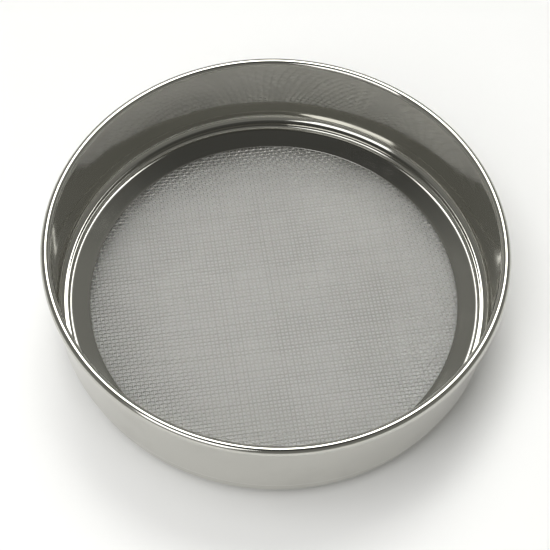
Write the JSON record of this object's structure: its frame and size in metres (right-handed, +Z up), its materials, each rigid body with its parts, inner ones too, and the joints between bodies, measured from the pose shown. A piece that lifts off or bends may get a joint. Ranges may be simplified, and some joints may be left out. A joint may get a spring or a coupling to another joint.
{
  "type": "test sieve",
  "caption": "Round soil test sieve: polished steel frame with a curled rim, woven wire cloth on a seat, and a tapered skirt that nests in the next sieve.",
  "frame": {"origin": "centre of the foot, on the plane that the sieve stands on", "axes": "+Z up along the axis of the rings, from the foot towards the rim; X and Y are any two level directions"},
  "size_m": [0.2088, 0.2088, 0.056],
  "materials": {
    "polished_steel": "mirror-polished stainless steel sheet with faint turning marks",
    "wire_cloth": "bright drawn stainless wire, plain weave"
  },
  "bodies": {
    "root": {"upper_frame": "polished_steel", "skirt": "polished_steel", "retaining_ring": "polished_steel", "warp_wires": "wire_cloth", "weft_wires": "wire_cloth"}
  },
  "joints": []
}
